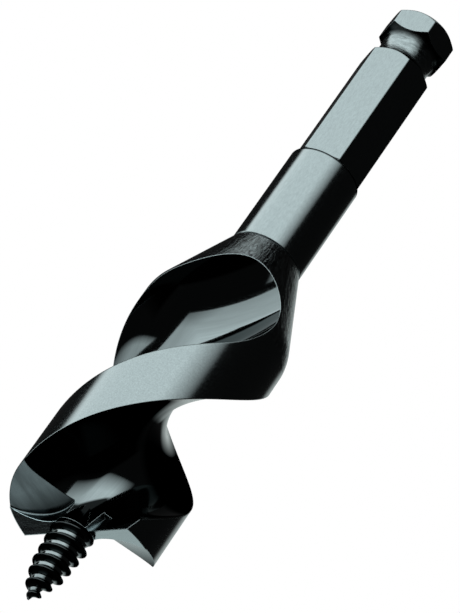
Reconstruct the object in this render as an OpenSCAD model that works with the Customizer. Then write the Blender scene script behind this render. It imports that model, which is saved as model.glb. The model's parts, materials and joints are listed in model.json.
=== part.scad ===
// Short auger bit with a hexagonal quick-change shank, a two-flute right-hand twist and a screw point.
// Millimetres. The axis of the bit is Z. The origin is the centre of the end face of the shank, and the point
// hangs down from it. Azimuth 0 faces -Y.

/* [Shank] */
// Width of the hexagon across its flats
hex_af = 11.11; // [8:0.01:12]
// Length of the hexagon, from the end face to the shoulder
hex_length = 35.2; // [28:0.1:60]
// Azimuth of one corner of the hexagon
hex_corner_azimuth = 5; // [0:1:60]
// Diameter of the flat end face
end_face_d = 11; // [6:0.1:12]
// Length of the chamfer at the end
end_chamfer_length = 0.9; // [0.3:0.1:2]
// Distance from the end face to the middle of the ball groove
groove_from_end = 7; // [6:0.1:12]
// Width of the floor of the ball groove
groove_floor_w = 3.6; // [1:0.1:5]
// Diameter of the floor of the ball groove
groove_d = 9.5; // [7:0.1:11]
// Slope of the groove's sides
groove_side_angle = 45; // [30:1:70]

/* [Neck] */
// Diameter of the round neck, and across the turned corners of the hexagon
neck_d = 12.7; // [10:0.1:16]
// Length of the round neck
neck_length = 19.8; // [17:0.1:40]

/* [Tenon joint] */
// Diameter of the tenon that holds the body in the neck
tenon_d = 8; // [5:0.1:9]
// Length of the tenon
tenon_length = 14; // [8:0.5:16]
// Chamfer at the top of the tenon
tenon_chamfer = 0.6; // [0.2:0.1:1.5]
// Gap round the tenon, filled by the braze
tenon_clearance = 0.05; // [0.02:0.01:0.2]
// Room between the end of the tenon and the floor of its socket
tenon_end_room = 0.5; // [0.2:0.1:2]

/* [Body] */
// Cutting diameter
cut_d = 25.4; // [20:0.1:32]
// Length of the cone below the neck
cone_length = 15.2; // [8:0.1:25]
// Radius that blends the cone into the twist
shoulder_round = 9; // [2:0.5:20]
// Length from the top of the cone to the cutting edges
body_length = 58.6; // [50:0.5:90]

/* [Twist] */
// Advance of the helix in one full turn
lead = 73; // [55:1:100]
// Thickness of the web between the two flutes
web = 3.4; // [2.5:0.1:5]
// Radius of the flute's round section
flute_r = 9; // [7:0.1:10]
// Depth by which the flute's trailing side is flatter than its round section
flute_flat = 1; // [0:0.1:3]
// Diameter of the milling cutter that lifts out at the top of the flute
mill_d = 60; // [40:1:120]
// Distance from the top of the cone to where the cutter begins to lift
run_out_start = 20; // [17:0.1:26]
// Azimuth of the first flute where the cutter begins to lift
run_out_azimuth = -32; // [-90:1:90]

/* [Lips] */
// Height of the rake gash above the cutting edge
gash_height = 3.5; // [2:0.1:6]
// Slope of the rake face against the axis
rake_angle = 19; // [5:1:30]
// Clearance angle of the primary relief
relief_angle = 7; // [3:1:15]
// Width of the primary relief at the rim
heel_land = 4; // [2:0.1:6]
// Diameter of the round grind that relieves the heel of each lip
heel_grind_d = 20; // [10:0.1:24]
// Corner radius of that grind
heel_grind_corner = 1.5; // [0.5:0.1:3]
// Distance of the grind's centre from the axis
heel_grind_r = 12.6; // [11:0.1:18]
// Angle from the back of the primary relief to the grind's centre
heel_grind_lag = 50; // [20:1:60]
// Slope of the heel grind on the first lip
heel_angle_first = 14; // [5:1:25]
// Slope of the heel grind on the second lip
heel_angle_second = 11; // [5:1:25]
// Dish of the heel grind on the first lip, rising from the rim to the core
heel_dish_first = 14; // [0:1:20]
// Dish of the heel grind on the second lip
heel_dish_second = 10; // [0:1:20]

/* [Screw point] */
// Length of the screw point below its seat
screw_length = 13.4; // [8:0.1:25]
// Pitch of the thread
screw_pitch = 1.95; // [1.2:0.05:3]
// Diameter over the thread at the seat
screw_d = 7.4; // [5:0.1:10]
// Diameter over the thread where the tip begins to taper
screw_low_d = 5.9; // [3:0.1:9]
// Length of the tapered tip
screw_tip_length = 5.4; // [3:0.1:8]
// Depth of the thread
thread_depth = 0.9; // [0.4:0.05:1.2]
// Azimuth at which the thread starts
thread_start_azimuth = 0; // [0:5:360]
// Diameter of the core boss at the seat of the screw point
boss_d = 6.6; // [5:0.1:9]
// Length of the core boss
boss_length = 4; // [2:0.5:8]
// Diameter of the stem of the screw point
stem_d = 2.2; // [1.5:0.1:2.4]
// Length of the stem
stem_length = 7.5; // [4:0.5:8]
// Gap round the stem, filled by the braze
stem_clearance = 0.05; // [0.02:0.01:0.2]
// Room between the end of the stem and the floor of its bore
stem_end_room = 0.5; // [0.2:0.1:1]

/* [Hidden] */

$fn = 96;
black_oxide = [0.13, 0.14, 0.15];
ground_oxide = [0.27, 0.29, 0.30];

// Heights: the shoulder of the hexagon, the top of the cone and the cutting edges
shoulder_z = -hex_length;
seat_z = shoulder_z - neck_length;
edge_z = seat_z - body_length;

neck_r = neck_d / 2;
cut_r = cut_d / 2;
overcut = 1;

// Centre line of a flute: a helix on a cylinder of this radius, up to where the cutter begins to lift
flute_centre_r = web / 2 + flute_r;
run_out_z = seat_z - run_out_start;
flute_low_z = edge_z - flute_r - overcut;
turn_per_mm = 360 / lead;
flute_step = 6;
flute_rings = ceil((run_out_z - flute_low_z) * turn_per_mm / flute_step);

// Run-out: an arc of the milling cutter's radius, until the section has left the steel
mill_r = mill_d / 2;
run_out_rise = cut_r - web / 2 + overcut;
run_out_turn = acos(1 - run_out_rise / mill_r);
run_out_rings = 14;

// Half the angle of a flute where it meets the cutting diameter, at one height
rim_half_width = sqrt(pow(flute_r, 2) - pow(cut_r - flute_centre_r, 2));
rim_helix_angle = atan(lead / (PI * cut_d));
flute_half_angle = rim_half_width / cos(rim_helix_angle) * turn_per_mm;

// Azimuth of the first cutting edge: it lags the flute's leading side by the run of the rake gash
gash_run = gash_height * tan(rake_angle);
lip_azimuth = flute_azimuth(edge_z + gash_height) + flute_half_angle - asin(gash_run / cut_r);

tip_z = edge_z - screw_length;

// Unit vector at an azimuth, 0 toward -Y and turning toward +X
function facing(a) = [sin(a), -cos(a), 0];

module at_azimuth(a) {
    rotate([0, 0, a - 90]) children();
}

// Points and directions of the flute's centre line: on the helix at a height, and on the run-out at a part of its arc
function flute_azimuth(z) = run_out_azimuth + (z - run_out_z) * turn_per_mm;
function helix_point(z) = flute_centre_r * facing(flute_azimuth(z)) + [0, 0, z];
function helix_tangent(z) =
    let (t = flute_centre_r * turn_per_mm * PI / 180 * facing(flute_azimuth(z) + 90) + [0, 0, 1])
    t / norm(t);
lift_from = helix_point(run_out_z);
lift_along = helix_tangent(run_out_z);
lift_out = facing(run_out_azimuth);
function lift_point(a) = lift_from + mill_r * (sin(a) * lift_along + (1 - cos(a)) * lift_out);
function lift_tangent(a) = cos(a) * lift_along + sin(a) * lift_out;

// Angles round a ring: close together where the ring lies in the steel, wide apart outside it
inner_steps = 22;
outer_steps = 6;
outer_half = 70;
ring_angles = concat(
    [for (i = [0 : outer_steps - 1]) -outer_half + 2 * outer_half * i / outer_steps],
    [for (i = [0 : inner_steps - 1]) outer_half + (360 - 2 * outer_half) * i / inner_steps]
);

// Radius of the flute's section at an angle round its ring: a circle with a flatter trailing side
flat_from = 190;
flat_to = 283;
flat_sharpness = 1.3;
function section_r(a) =
    a > flat_from && a < flat_to
        ? flute_r - flute_flat * pow(sin(180 * (a - flat_from) / (flat_to - flat_from)), flat_sharpness)
        : flute_r;

// One ring round the centre line, square to its direction
function flute_ring(c, t) =
    let (n = cross(t, [0, 0, 1]) / norm(cross(t, [0, 0, 1])), b = cross(t, n))
    [for (a = ring_angles) c + section_r(a) * (cos(a) * n + sin(a) * b)];

// A closed tube from rings that each have the same number of points
module tube_of_rings(rings) {
    n = len(rings[0]);
    last = len(rings) - 1;
    points = [for (ring = rings) for (p = ring) p];
    sides = [
        for (i = [0 : last - 1]) for (j = [0 : n - 1])
            let (k = (j + 1) % n, a = i * n, b = a + n)
            each [[a + j, b + j, a + k], [a + k, b + j, b + k]]
    ];
    low = [for (j = [1 : n - 2]) [0, j, j + 1]];
    high = [for (j = [1 : n - 2]) [last * n, last * n + j + 1, last * n + j]];
    polyhedron(points = points, faces = concat(sides, low, high), convexity = 8);
}

// One flute: a round section that follows the helix and then the run-out
module flute() {
    helix = [
        for (i = [0 : flute_rings])
            let (z = flute_low_z + (run_out_z - flute_low_z) * i / flute_rings)
            flute_ring(helix_point(z), helix_tangent(z))
    ];
    lift = [
        for (i = [1 : run_out_rings])
            let (a = run_out_turn * i / run_out_rings)
            flute_ring(lift_point(a), lift_tangent(a))
    ];
    tube_of_rings(concat(helix, lift));
}

// Turned blank: tenon, cone, and the cylinder of the cutting diameter, with a rounded shoulder
module blank_profile() {
    tenon_r = tenon_d / 2;
    cone_angle = atan((cut_r - neck_r) / cone_length);
    tangent = shoulder_round * tan(cone_angle / 2);
    shoulder = seat_z - cone_length;
    along = tangent * [sin(cone_angle), -cos(cone_angle)];
    difference() {
        polygon([
            [0, seat_z + tenon_length],
            [tenon_r - tenon_chamfer, seat_z + tenon_length],
            [tenon_r, seat_z + tenon_length - tenon_chamfer],
            [tenon_r, seat_z],
            [neck_r, seat_z],
            [cut_r, shoulder],
            [cut_r, edge_z - overcut],
            [0, edge_z - overcut]
        ]);
        difference() {
            polygon([
                [cut_r, shoulder] - along,
                [cut_r + overcut, shoulder - tangent],
                [cut_r, shoulder - tangent],
                [cut_r - shoulder_round, shoulder - tangent],
            ]);
            translate([cut_r - shoulder_round, shoulder - tangent]) circle(r = shoulder_round);
        }
    }
}

// Everything above the two primary relief faces, which meet along the line of the cutting edges
module above_relief() {
    half = cut_r + overcut;
    rise = half * tan(relief_angle);
    at_azimuth(lip_azimuth) rotate([90, 0, 90])
        linear_extrude(height = 2 * half, center = true)
            polygon([
                [0, edge_z],
                [half, edge_z + rise],
                [half, seat_z + tenon_length + overcut],
                [-half, seat_z + tenon_length + overcut],
                [-half, edge_z + rise]
            ]);
}

// Rake gash in front of one cutting edge, from the core boss out past the rim
module rake_gash(azimuth) {
    ahead = gash_height * 1.5;
    at_azimuth(azimuth) translate([boss_d / 2, 0, edge_z]) rotate([90, 0, 90])
        linear_extrude(height = cut_r)
            polygon([
                [0, 0],
                [gash_run, gash_height],
                [-ahead, gash_height + ahead],
                [-ahead, -overcut],
                [-overcut * tan(rake_angle), -overcut]
            ]);
}

// Round grind that drops the heel behind one cutting edge: the end of a wheel with a rounded corner,
// leaning so that its face rises from the primary relief to the heel
module heel_grind(azimuth, angle, dish) {
    r = heel_grind_d / 2;
    c = heel_grind_corner;
    low = cut_r;
    hinge = azimuth + asin(heel_land / cut_r);
    hinge_z = edge_z + heel_land * tan(relief_angle) + cut_r * tan(dish);
    at_azimuth(hinge) translate([0, 0, hinge_z]) rotate([angle, 0, 0]) rotate([0, dish, 0])
        rotate([0, 0, heel_grind_lag]) translate([heel_grind_r, 0, 0]) rotate_extrude()
            union() {
                translate([0, -low]) square([r - c, low]);
                translate([0, -low]) square([r, low - c]);
                translate([r - c, -c]) circle(r = c);
            }
}

// Core boss that carries the screw point between the flutes
module core_boss() {
    translate([0, 0, edge_z]) cylinder(d1 = boss_d, d2 = web, h = boss_length);
}

module screw_bore() {
    translate([0, 0, edge_z - overcut])
        cylinder(d = stem_d + 2 * stem_clearance, h = stem_length + stem_end_room + overcut);
}

module hex_shank() {
    color(black_oxide) difference() {
        union() {
            intersection() {
                rotate([0, 0, hex_corner_azimuth - 90]) translate([0, 0, shoulder_z - overcut])
                    cylinder(d = hex_af / cos(30), h = hex_length + overcut, $fn = 6);
                hex_turning();
            }
            translate([0, 0, seat_z]) cylinder(r = neck_r, h = neck_length);
        }
        tenon_socket();
    }
}

// Turned limits of the hexagon: rounded corners, end chamfer and ball groove
module hex_turning() {
    groove_r = groove_d / 2;
    side = (neck_r - groove_r) / tan(groove_side_angle);
    floor_half = groove_floor_w / 2;
    rotate_extrude() polygon([
        [0, 0],
        [end_face_d / 2, 0],
        [neck_r, -end_chamfer_length],
        [neck_r, -groove_from_end + floor_half + side],
        [groove_r, -groove_from_end + floor_half],
        [groove_r, -groove_from_end - floor_half],
        [neck_r, -groove_from_end - floor_half - side],
        [neck_r, shoulder_z - overcut],
        [0, shoulder_z - overcut]
    ]);
}

module tenon_socket() {
    translate([0, 0, seat_z - overcut])
        cylinder(d = tenon_d + 2 * tenon_clearance, h = tenon_length + tenon_end_room + overcut);
}

module auger_body() {
    color(ground_oxide) difference() {
        union() {
            difference() {
                intersection() {
                    rotate_extrude() blank_profile();
                    above_relief();
                }
                for (turn = [0, 180]) rotate([0, 0, turn]) flute();
                rake_gash(lip_azimuth);
                rake_gash(lip_azimuth + 180);
                heel_grind(lip_azimuth, heel_angle_first, heel_dish_first);
                heel_grind(lip_azimuth + 180, heel_angle_second, heel_dish_second);
            }
            core_boss();
        }
        screw_bore();
    }
}

// Radius over the thread and radius of its core at a depth below the seat
screw_taper = screw_length - screw_tip_length;
function along_screw(d, top, low, tip) =
    d < screw_taper
        ? top + (low - top) * d / screw_taper
        : low + (tip - low) * min(1, (d - screw_taper) / screw_tip_length);
function thread_r(d) = along_screw(d, screw_d / 2, screw_low_d / 2, thread_tip_r);
function core_r(d) = along_screw(d, screw_d / 2 - thread_depth, screw_low_d / 2 - thread_depth, screw_tip_r);

// Ridge of the thread: sections along the helix, each rooted a little inside the core
thread_step = 20;
thread_tip_r = 0.75;
screw_tip_r = 0.15;
thread_root = 0.1;
thread_half = 0.36 * screw_pitch;
thread_flat = 0.06 * screw_pitch;
thread_gap = 0.1;
thread_first = thread_half + thread_gap;
thread_length = screw_length - thread_first - thread_half;
thread_sections = ceil(thread_length / screw_pitch * 360 / thread_step);
thread_fade = 180;
function thread_ring(i) =
    let (
        turn = i * thread_step,
        d = thread_first + turn / 360 * screw_pitch,
        fade = min(1, turn / thread_fade),
        crest = core_r(d) + (thread_r(d) - core_r(d)) * fade,
        out = facing(thread_start_azimuth - turn),
        down = [0, 0, -1],
        seat = [0, 0, edge_z]
    )
    [
        seat + (core_r(d + thread_half) - thread_root) * out + (d + thread_half) * down,
        seat + crest * out + (d + thread_flat) * down,
        seat + crest * out + (d - thread_flat) * down,
        seat + (core_r(d - thread_half) - thread_root) * out + (d - thread_half) * down
    ];

module feed_screw() {
    color(black_oxide) union() {
        rotate_extrude() polygon([
            [0, edge_z + stem_length],
            [stem_d / 2, edge_z + stem_length],
            [stem_d / 2, edge_z],
            [core_r(0), edge_z],
            [core_r(screw_taper), edge_z - screw_taper],
            [core_r(screw_length), tip_z],
            [0, tip_z]
        ]);
        tube_of_rings([for (i = [0 : thread_sections]) thread_ring(i)]);
    }
}

hex_shank();
auger_body();
feed_screw();
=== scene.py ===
# %% [markdown]
# # A short auger bit in black steel
# The real bit is three pieces of steel: a hexagonal shank with a round neck, a twisted body that is brazed into it,
# and a screw point that pulls the bit into the wood. The CAD model gives their sizes and places, with flat facets for
# the twist and the thread. Here the same rules draw them again with smooth surfaces, finishes and light.

import json
import math

import bmesh
import bpy
import numpy as np
from mathutils import Matrix, Vector

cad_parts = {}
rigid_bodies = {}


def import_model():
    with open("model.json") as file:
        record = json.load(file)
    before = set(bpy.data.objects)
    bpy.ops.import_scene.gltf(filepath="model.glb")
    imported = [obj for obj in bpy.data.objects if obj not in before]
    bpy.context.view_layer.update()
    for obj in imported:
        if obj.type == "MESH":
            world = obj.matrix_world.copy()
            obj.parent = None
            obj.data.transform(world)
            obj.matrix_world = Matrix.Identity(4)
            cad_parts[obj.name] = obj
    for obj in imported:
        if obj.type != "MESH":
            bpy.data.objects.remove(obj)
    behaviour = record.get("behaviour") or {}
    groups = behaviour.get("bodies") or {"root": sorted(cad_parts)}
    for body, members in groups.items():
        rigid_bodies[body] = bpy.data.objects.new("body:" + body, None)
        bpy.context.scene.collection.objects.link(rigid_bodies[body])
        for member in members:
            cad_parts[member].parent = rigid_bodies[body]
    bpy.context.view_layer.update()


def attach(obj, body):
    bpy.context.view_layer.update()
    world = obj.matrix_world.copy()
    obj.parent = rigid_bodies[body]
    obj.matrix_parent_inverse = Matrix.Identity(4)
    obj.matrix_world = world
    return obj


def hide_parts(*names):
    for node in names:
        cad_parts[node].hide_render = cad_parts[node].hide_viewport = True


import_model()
scene = bpy.context.scene

# %% [markdown]
# ## Sizes
# Millimetres, as a drawing of the bit would give them. The axis is Z, the origin is the middle of the shank's end
# face, and the point hangs down. An azimuth of 0 looks toward -Y, where the camera stands, and turns toward +X.

# %% Sizes of the bit
HEX_AF = 11.11
HEX_LENGTH = 35.2
HEX_CORNER_AZIMUTH = 5
END_FACE_R = 5.5
END_CHAMFER = 0.9
GROOVE_FROM_END = 7.0
GROOVE_FLOOR = 3.6
GROOVE_R = 4.75
NECK_R = 6.35
NECK_LENGTH = 19.8
CUT_R = 12.7
CONE_LENGTH = 15.2
SHOULDER_ROUND = 9.0
BODY_LENGTH = 58.6
SHOULDER_Z = -HEX_LENGTH
SEAT_Z = SHOULDER_Z - NECK_LENGTH
EDGE_Z = SEAT_Z - BODY_LENGTH
OVERCUT = 1.0  # how far a cutter reaches past what it cuts
UP = np.array([0, 0, 1.0])
print("seat at", SEAT_Z, "cutting edges at", EDGE_Z)


# %% [markdown]
# ## Small helpers
# Colours are written as sRGB hex, as a paint program shows them, and one function turns them into the linear values
# that Blender's shaders use. Another adds a node with its settings and links, for materials and for Geometry Nodes.
# The last three make simple solids from points: a closed mesh, a turned one and a prism.

# %% Colours, nodes and directions
MATH, VECTOR_MATH, MAP_RANGE = "ShaderNodeMath", "ShaderNodeVectorMath", "ShaderNodeMapRange"  # most used


def linear(hex_colour):
    """sRGB hex to linear RGBA."""
    s = [int(hex_colour[i : i + 2], 16) / 255 for i in (1, 3, 5)]
    return (*[c / 12.92 if c <= 0.04045 else ((c + 0.055) / 1.055) ** 2.4 for c in s], 1.0)


def add(tree, kind, inputs=None, **settings):
    """Adds a node. An input is a value, an output to link, or a node that is linked by its first output."""
    n = tree.nodes.new(kind)
    for key, value in settings.items():
        setattr(n, key, value)
    for key, value in (inputs or {}).items():
        if isinstance(value, bpy.types.Node):
            value = value.outputs[0]
        if isinstance(value, bpy.types.NodeSocket):
            tree.links.new(value, n.inputs[key])
        else:
            n.inputs[key].default_value = value
    return n


def facing(azimuth):
    a = math.radians(azimuth)
    return np.array([math.sin(a), -math.cos(a), 0.0])


# %% Solids
def solid(name, points, faces, material):
    """A mesh object from points in millimetres, with its faces turned outward."""
    mesh = bpy.data.meshes.new(name)
    mesh.from_pydata((np.asarray(points, float) / 1000).tolist(), [], faces)
    bm = bmesh.new()
    bm.from_mesh(mesh)
    bmesh.ops.remove_doubles(bm, verts=bm.verts, dist=1e-7)
    bmesh.ops.recalc_face_normals(bm, faces=bm.faces)
    if bm.calc_volume(signed=True) < 0:
        bmesh.ops.reverse_faces(bm, faces=bm.faces)
    bm.to_mesh(mesh)
    bm.free()
    obj = bpy.data.objects.new(name, mesh)
    scene.collection.objects.link(obj)
    mesh.materials.append(material)
    return obj


def lathe(name, profile, steps, material):
    """Turns a profile of (radius, height) round the axis. The profile starts and ends on the axis."""
    turn = [facing(360 * i / steps) for i in range(steps)]
    points = [r * t + [0, 0, z] for r, z in profile[1:-1] for t in turn]
    points = [[0, 0, profile[0][1]], *points, [0, 0, profile[-1][1]]]
    last = len(points) - 1
    faces = []
    for i in range(steps):
        k = (i + 1) % steps
        faces.append([0, 1 + i, 1 + k])
        faces.append([last, last - steps + k, last - steps + i])
        for ring in range(len(profile) - 3):
            a = 1 + ring * steps
            faces.append([a + i, a + k, a + steps + k, a + steps + i])
    return solid(name, points, faces, material)


def prism(name, outline, origin, u, v, depth, material):
    """A prism: an outline in the plane of u and v, drawn out along their normal by the depth from the origin."""
    u, v = np.array(u, float), np.array(v, float)
    w = np.cross(u, v)
    base = [np.array(origin) + a * u + b * v for a, b in outline]
    n = len(base)
    faces = [list(range(n)), list(range(n, 2 * n))]
    faces += [[i, (i + 1) % n, n + (i + 1) % n, n + i] for i in range(n)]
    return solid(name, base + [p + depth * w for p in base], faces, material)


# %% [markdown]
# ## Finishes
# Every piece is steel under a thin black oxide that copies the surface below it. What differs is how that surface was
# made, so one function makes all the finishes and is told the gloss, the tool marks and their direction.
# Noise in real sizes varies tone, roughness and height together, as tool marks do. The Bevel node gives a rounded
# normal near an edge. Where that differs from the true normal the edge gets another tone: partly real wear, partly
# a painted highlight that draws a thin line of light, and on some pieces a painted dark edge. A shade, where there
# is one, is painted shade that darkens some places.

# %% Coordinates that follow a surface
def in_space(tree):
    return add(tree, "ShaderNodeTexCoord").outputs["Object"]


def round_the_axis(tree):
    """Coordinates that follow a turned surface: a place on a circle of 10 mm radius, and the height."""
    part = add(tree, "ShaderNodeSeparateXYZ", {0: in_space(tree)})
    flat = add(tree, "ShaderNodeCombineXYZ", {"X": part.outputs["X"], "Y": part.outputs["Y"]})
    unit = add(tree, VECTOR_MATH, {0: flat}, operation="NORMALIZE")
    ring = add(tree, VECTOR_MATH, {0: unit, "Scale": 0.01}, operation="SCALE")
    height = add(tree, "ShaderNodeCombineXYZ", {"Z": part.outputs["Z"]})
    return add(tree, VECTOR_MATH, {0: ring, 1: height}, operation="ADD")


def along_the_flute(tree):
    """Coordinates that the flutes carry as an attribute: metres along the flute and across it."""
    return add(tree, "ShaderNodeAttribute", attribute_name="flute_way").outputs["Vector"]


# %% A black-oxide steel with its own gloss
SKIN = "#565C5D"
FLUTE_SKIN = "#4E5455"
GROUND_SKIN = "#788588"
LIP_SKIN = "#8C999C"
EDGE_RADIUS = 0.00022
UNWORN, WORN = 0.995, 0.93  # cosine between the rounded normal and the true one
WORN_ROUGHNESS = 0.28


def oxide_steel(
    name, colour, gloss, scale, height, contrast, stretch=(1, 1, 1), way=in_space,
    turn=0.0, edge=EDGE_RADIUS, edge_wear_and_sheen=2.0, shade=None, wave=0.0,
):
    """Steel whose noise, in features per metre and drawn out by the stretch, varies tone, roughness and height. The
    edge tone is partly worn metal and partly a painted highlight, or a painted dark edge where it is below one. Shade
    gives a factor of painted shade by place, and wave bends the marks."""
    mat = bpy.data.materials.new(name)
    mat.use_nodes = True
    tree = mat.node_tree
    shader = tree.nodes["Principled BSDF"]
    shader.inputs["Metallic"].default_value = 1.0
    place = {"Vector": way(tree), "Rotation": (0, 0, turn), "Scale": stretch}
    drawn = add(tree, "ShaderNodeMapping", place, vector_type="TEXTURE")
    marks = {"Vector": drawn, "Scale": scale, "Detail": 5.0, "Roughness": 0.6, "Distortion": wave}
    noise = add(tree, "ShaderNodeTexNoise", marks).outputs["Fac"]
    spread = {"Value": noise, "From Min": 0.3, "From Max": 0.7}
    rough = add(tree, MAP_RANGE, {**spread, "To Min": gloss[0], "To Max": gloss[1]})
    tone = add(tree, MAP_RANGE, {**spread, "To Min": 1 - contrast, "To Max": 1 + contrast})
    # Painted shade: the shade darkens the tone and, through the tint, the grazing reflection.
    if shade:
        factor = shade(tree)
        tone = add(tree, MATH, {0: tone, 1: factor}, operation="MULTIPLY")
        grazing = add(tree, VECTOR_MATH, {0: (1.0, 1.0, 1.0), "Scale": factor}, operation="SCALE")
        tree.links.new(grazing.outputs[0], shader.inputs["Specular Tint"])
    bevel = add(tree, "ShaderNodeBevel", {"Radius": edge}, samples=8)
    true = add(tree, "ShaderNodeNewGeometry").outputs["Normal"]
    same = add(tree, VECTOR_MATH, {0: bevel, 1: true}, operation="DOT_PRODUCT").outputs["Value"]
    # Edges take the edge tone: partly real wear, partly a painted highlight, or a painted dark edge below one.
    wear_and_sheen_mask = add(tree, MAP_RANGE, {"Value": same, "From Min": UNWORN, "From Max": WORN})
    tone = add(tree, "ShaderNodeMix", {0: wear_and_sheen_mask, 2: tone, 3: edge_wear_and_sheen})
    rough = add(tree, "ShaderNodeMix", {0: wear_and_sheen_mask, 2: rough, 3: WORN_ROUGHNESS})
    skin = add(tree, VECTOR_MATH, {0: linear(colour)[:3], "Scale": tone}, operation="SCALE")
    bump = add(tree, "ShaderNodeBump", {"Height": noise, "Distance": height, "Normal": bevel})
    tree.links.new(skin.outputs[0], shader.inputs["Base Color"])
    tree.links.new(rough.outputs[0], shader.inputs["Roughness"])
    tree.links.new(bump.outputs["Normal"], shader.inputs["Normal"])
    return mat


# %% Shank: a ground bar with a rough turned groove
def by_distance(direction, middle, start, end, first, last):
    """A shade that goes from the first level to the last between two distances from a plane, start and end. The plane
    lies across a direction, at the middle. In millimetres."""

    def shade(tree):
        way = add(tree, VECTOR_MATH, {0: in_space(tree), 1: direction.tolist()}, operation="DOT_PRODUCT")
        off = add(tree, MATH, {0: way.outputs["Value"], 1: middle / 1000}, operation="SUBTRACT")
        far = add(tree, MATH, {0: off}, operation="ABSOLUTE")
        levels = {"From Min": start / 1000, "From Max": end / 1000, "To Min": first, "To Max": last}
        return add(tree, MAP_RANGE, {"Value": far, **levels})

    return shade


# Fine grinding gives an even satin: a flat shows the softbox as one plain pale field. A painted shade darkens the
# corner where the hexagon meets the neck, which draws the line of the shoulder.
shank_steel = oxide_steel(
    "shank_ground_bar_black_oxide", SKIN, gloss=(0.1, 0.17), stretch=(1, 1, 3), scale=3500, height=0.000003,
    contrast=0.1, edge_wear_and_sheen=1.3, shade=by_distance(UP, SHOULDER_Z, start=0.2, end=0.4, first=0.05, last=1.0),
)
# Rough turning leaves rings: the light on the floor of the groove breaks into short streaks. A painted shade
# makes its flanks black.
groove_steel = oxide_steel(
    "groove_rough_turned_black_oxide", SKIN, gloss=(0.1, 0.24), stretch=(5, 5, 0.7), scale=1800, height=0.00004,
    contrast=0.4, way=round_the_axis, shade=by_distance(UP, -GROOVE_FROM_END, start=1.5, end=2.3, first=1.0, last=0.06),
)
print("shank finishes:", shank_steel.name, groove_steel.name)

# %% Land and cone: ground and rough turned
# Cylindrical grinding gives the land a satin with a fine grain, pale where it faces the softbox and black beside it.
land_steel = oxide_steel(
    "land_ground_black_oxide", SKIN, gloss=(0.1, 0.18), scale=4000, height=0.000003,
    contrast=0.14, edge_wear_and_sheen=1.5,
)
# A dragging tool leaves ragged marks down the cone. Each one glints by itself, so the cone looks rough and dark.
cone_steel = oxide_steel(
    "cone_rough_turned_black_oxide", SKIN, gloss=(0.04, 0.1), stretch=(1, 1, 3), scale=2000, height=0.000085,
    contrast=0.98, way=round_the_axis, wave=0.8,
)
print("turned finishes:", land_steel.name, cone_steel.name)

# %% Flutes: polished along the twist
# The limit of each patch of painted shade across the flute: how much it shifts per metre along the flute, where the
# patch begins and where it is full. Then its range along the flute: the middle, and how far from it the patch ends and
# is full.
PAINTED_SHADE_PATCHES = (
    (-0.08, 0.0292, 0.03, 0.0, 0.0585, 0.0615),  # wall of the run-out
    (0.15, 0.0336, 0.0341, 0.0, 0.0375, 0.0345),  # wall above the lip
    (0.775, 0.0627, 0.058, 0.05, 0.014, 0.011),  # wall half way up
    (0.432, 0.03745, 0.0371, 0.0, 0.026, 0.024),  # corner by the core
)
PAINTED_SHADE = 0.97  # share of the tone and grazing light that a patch of painted shade takes away


def painted_shade_on_walls(tree):
    """Painted shade: patches of the flute walls lose most of their tone and of their grazing reflection."""
    part = add(tree, "ShaderNodeSeparateXYZ", {0: along_the_flute(tree)})
    along, across = part.outputs["X"], part.outputs["Y"]
    left = 1.0
    for shift, begins, full, middle, ends, inside in PAINTED_SHADE_PATCHES:
        up = add(tree, MATH, {0: along, 1: shift, 2: across}, operation="MULTIPLY_ADD")
        wall = add(tree, MAP_RANGE, {"Value": up, "From Min": begins, "From Max": full})
        off = add(tree, MATH, {0: along, 1: middle}, operation="SUBTRACT")
        far = add(tree, MATH, {0: off}, operation="ABSOLUTE")
        there = add(tree, MAP_RANGE, {"Value": far, "From Min": ends, "From Max": inside})
        dark = add(tree, MATH, {0: wall, 1: there}, operation="MULTIPLY")
        keep = add(tree, MATH, {0: dark, 1: -PAINTED_SHADE, 2: 1.0}, operation="MULTIPLY_ADD")
        left = add(tree, MATH, {0: keep, 1: left}, operation="MULTIPLY")
    return left


# Polishing gives a black mirror: sharp pale pictures of the softbox, drawn out a little along the twist, on black.
# Patches of painted shade darken parts of the walls.
flute_steel = oxide_steel(
    "flute_polished_black_oxide", FLUTE_SKIN, gloss=(0.04, 0.08), stretch=(30, 1, 1), scale=3000, height=0.0000015,
    contrast=0.08, way=along_the_flute, edge=0.00014, edge_wear_and_sheen=1.4, shade=painted_shade_on_walls,
)
print("flute finish:", flute_steel.name)


# %% Screw: rolled thread
def painted_shade_on_ridges(tree):
    """Painted shade: the flanks and crest of the thread lose most of their tone and grazing reflection, the root keeps
    it.
    """
    ridge = add(tree, "ShaderNodeAttribute", attribute_name="thread_height").outputs["Fac"]
    return add(tree, MAP_RANGE, {"Value": ridge, "From Min": 0.1, "From Max": 0.5, "To Min": 1.0, "To Max": 0.2})


# Rolling presses the steel smooth: a short bright block of light lies in each root, and painted shade keeps the
# ridges black.
screw_steel = oxide_steel(
    "screw_rolled_black_oxide", SKIN, gloss=(0.05, 0.11), scale=2500, height=0.000006,
    contrast=0.1, edge=0.00006, edge_wear_and_sheen=0.6, shade=painted_shade_on_ridges,
)
print("screw finish:", screw_steel.name)

# %% [markdown]
# ## Turned blank of the body
# On a lathe the body starts as a cone that runs into a cylinder through a rounded shoulder. A profile turned round
# the axis makes the same shape. Its cone and its cylinder get different finishes.

# %% Blank
CONE_SLOPE = (CUT_R - NECK_R) / CONE_LENGTH
CONE_ANGLE = math.atan(CONE_SLOPE)
SHOULDER_CENTRE_Z = SEAT_Z - CONE_LENGTH - SHOULDER_ROUND * math.tan(CONE_ANGLE / 2)
SEAM_CHAMFER = 0.18
SEAM_GAP = 0.02
SEAM_DEPTH = 0.3


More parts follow.
